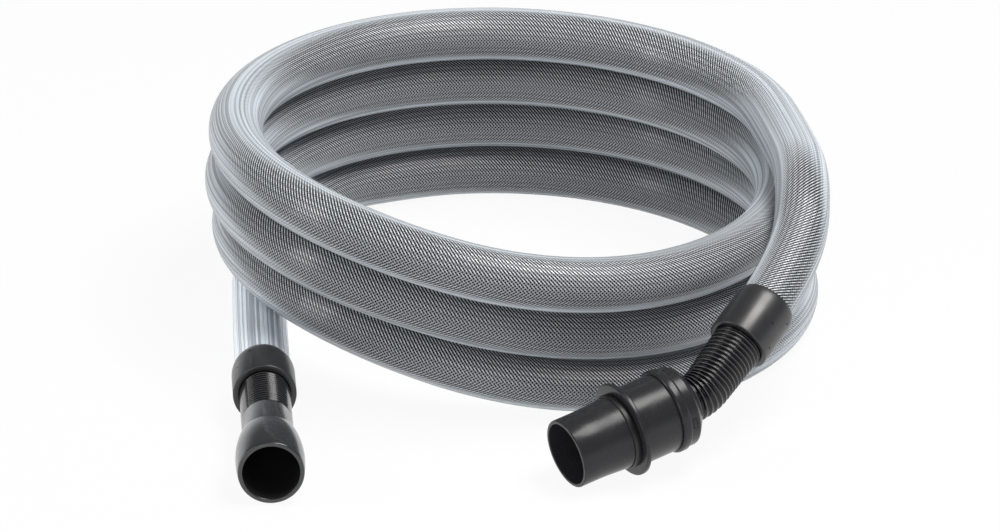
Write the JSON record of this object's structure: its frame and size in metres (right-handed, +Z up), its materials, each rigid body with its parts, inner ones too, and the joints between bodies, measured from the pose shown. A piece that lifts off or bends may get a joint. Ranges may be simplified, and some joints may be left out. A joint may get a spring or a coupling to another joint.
{
  "type": "suction hose with fittings",
  "caption": "Coiled clear braided suction hose with a push-on cuff on one end and a flanged swivel connector on a bent ribbed neck on the other.",
  "frame": {"origin": "on the floor, under the middle of the whole part's box", "axes": "+Z up, +Y towards the back of the coil, both hose ends face -Y"},
  "size_m": [0.5189, 0.6743, 0.1868],
  "materials": {
    "clear_braid": "clear glossy hose wall over a woven grey braid",
    "black_plastic": "satin moulded black",
    "connector_plastic": "semi-gloss moulded black",
    "black_rubber": "satin ribbed rubber",
    "inner_plastic": "plain moulded",
    "seal_rubber": "plain rubber",
    "washer_plastic": "slippery pale plastic"
  },
  "bodies": {
    "hose_run": {"hose": "clear_braid", "left_collar": "black_plastic", "left_hose_tail": "inner_plastic", "left_hose_washer": "seal_rubber", "left_neck": "black_rubber", "right_collar": "black_plastic", "right_hose_tail": "inner_plastic", "right_hose_washer": "seal_rubber", "right_neck": "black_rubber"},
    "cuff": {"left_cuff": "black_plastic"},
    "neck_end": {"swivel_journal": "inner_plastic", "swivel_seal": "seal_rubber"},
    "connector": {"connector_body": "connector_plastic", "connector_cap": "connector_plastic", "thrust_washer": "washer_plastic", "flange_seal": "seal_rubber"}
  },
  "joints": [
    {"name": "left_neck_bend", "type": "hinge", "parent": "hose_run", "child": "cuff", "pos_m": [-0.19354, -0.21378, 0.02677], "axis": [-0.0008, 0.0099, 1], "range_deg": [-30, 30], "stiffness_Nm_per_rad": 1, "deforming": ["left_neck"]},
    {"name": "right_neck_bend", "type": "hinge", "parent": "hose_run", "child": "neck_end", "pos_m": [0.15334, -0.21557, 0.05315], "axis": [0.1893, -0.6002, 0.7771], "range_deg": [-20, 27], "stiffness_Nm_per_rad": 1.5, "deforming": ["right_neck"]},
    {"name": "connector_swivel", "type": "hinge", "parent": "neck_end", "child": "connector", "pos_m": [0.13075, -0.22958, 0.04784], "axis": [0.8334, 0.5167, 0.1961], "continuous": true}
  ]
}
